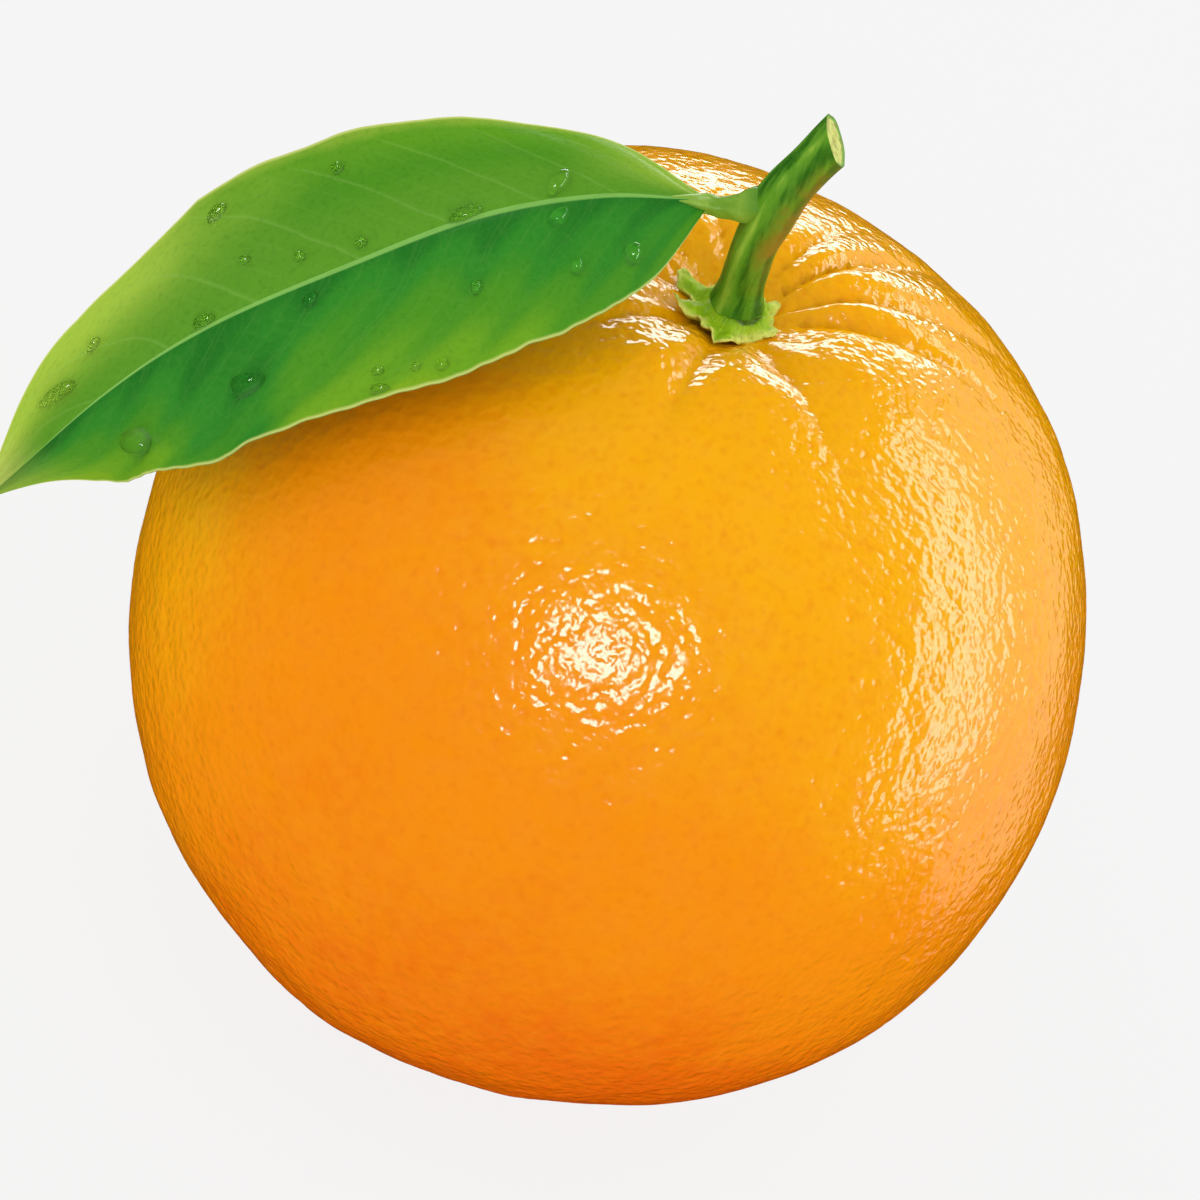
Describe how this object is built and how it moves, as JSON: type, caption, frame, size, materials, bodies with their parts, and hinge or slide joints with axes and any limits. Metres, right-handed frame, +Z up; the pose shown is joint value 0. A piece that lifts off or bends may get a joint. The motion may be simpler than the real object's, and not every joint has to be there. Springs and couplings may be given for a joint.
{
  "type": "orange with stem and leaf",
  "caption": "Whole round orange with pitted peel, green calyx, short cut stem and a leaf with water drops; rests on its flat blossom end.",
  "frame": {"origin": "centre of the small flat spot at the blossom end, on the surface the fruit rests on", "axes": "+Z up the fruit's own axis through the middle of the calyx; the leaf hangs over the -X side"},
  "size_m": [0.087, 0.076, 0.0876],
  "materials": {
    "peel": "waxy orange citrus peel, finely pitted, semi-gloss",
    "calyx": "fresh green calyx, satin, with paler ragged edges",
    "stem": "young green bark, satin, pale cut end",
    "leaf_stalk": "young green bark, satin",
    "leaf_blade": "leathery green leaf, waxy semi-gloss, pale midrib and edge",
    "water": "clear water, high gloss"
  },
  "bodies": {
    "root": {"fruit": "peel", "calyx": "calyx", "stem": "stem", "leaf_stalk": "leaf_stalk", "leaf_blade": "leaf_blade", "drop_01": "water", "drop_02": "water", "drop_03": "water", "drop_04": "water", "drop_05": "water", "drop_06": "water", "drop_07": "water", "drop_08": "water", "drop_09": "water", "drop_10": "water", "drop_11": "water", "drop_12": "water", "drop_13": "water", "drop_14": "water", "drop_15": "water", "drop_16": "water", "drop_17": "water", "drop_18": "water", "drop_19": "water", "drop_20": "water", "drop_21": "water"}
  },
  "joints": []
}
